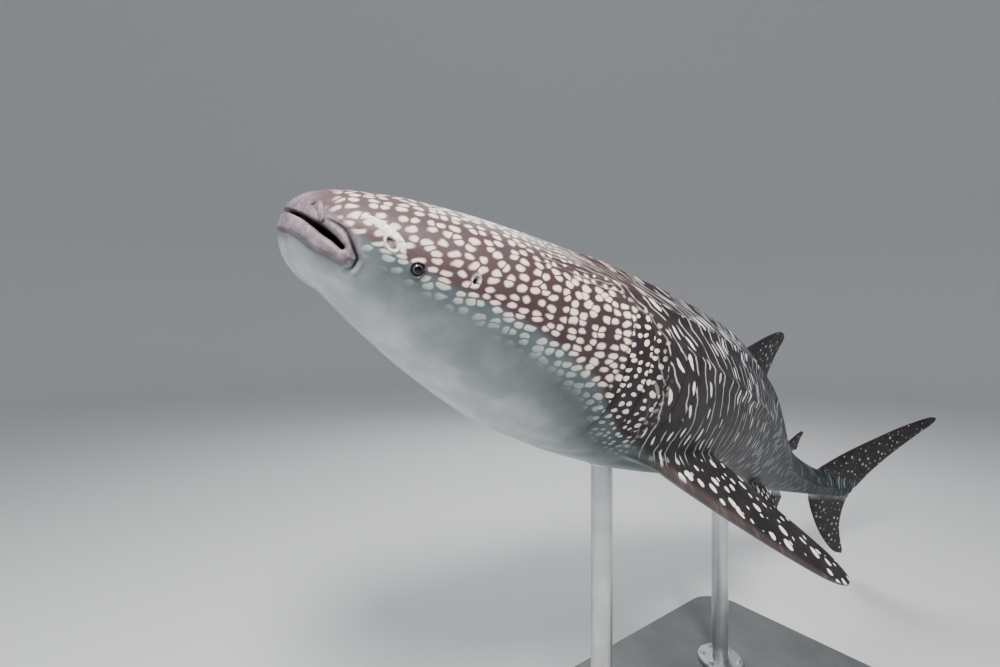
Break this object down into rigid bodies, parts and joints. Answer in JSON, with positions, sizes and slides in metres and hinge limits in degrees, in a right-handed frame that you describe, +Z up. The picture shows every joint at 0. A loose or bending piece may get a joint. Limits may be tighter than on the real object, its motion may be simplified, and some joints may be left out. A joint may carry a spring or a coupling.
{
  "type": "whale shark display model",
  "caption": "Life-size still model of a young whale shark, head raised and tail swung, on a flat base with upright posts.",
  "frame": {"origin": "centre of the underside of the stand's base, on the floor", "axes": "+Z up, the head points to -X and the tail to +X, the animal's left side faces -Y"},
  "size_m": [4.6188, 1.5503, 2.2468],
  "materials": {
    "skin": "matte hide, dark grey-brown with cream spots and lines, pale belly",
    "eye": "glossy dark eye",
    "stand_paint": "satin charcoal paint",
    "stand_steel": "brushed steel"
  },
  "bodies": {
    "root": {"head": "skin", "lower_jaw": "skin", "gill_region": "skin", "trunk_front": "skin", "trunk_middle": "skin", "trunk_rear": "skin", "tail_stalk": "skin", "dorsal_fin_first": "skin", "dorsal_fin_second": "skin", "anal_fin": "skin", "tail_fin_upper": "skin", "tail_fin_lower": "skin", "pectoral_fin_left": "skin", "pectoral_fin_right": "skin", "pelvic_fin_left": "skin", "pelvic_fin_right": "skin", "nasal_flap_left": "skin", "nasal_flap_right": "skin", "eye_left": "eye", "eye_right": "eye", "stand_base": "stand_paint", "stand_post_front": "stand_steel", "stand_post_rear": "stand_steel", "stand_flange_front": "stand_steel", "stand_flange_rear": "stand_steel"}
  },
  "joints": []
}
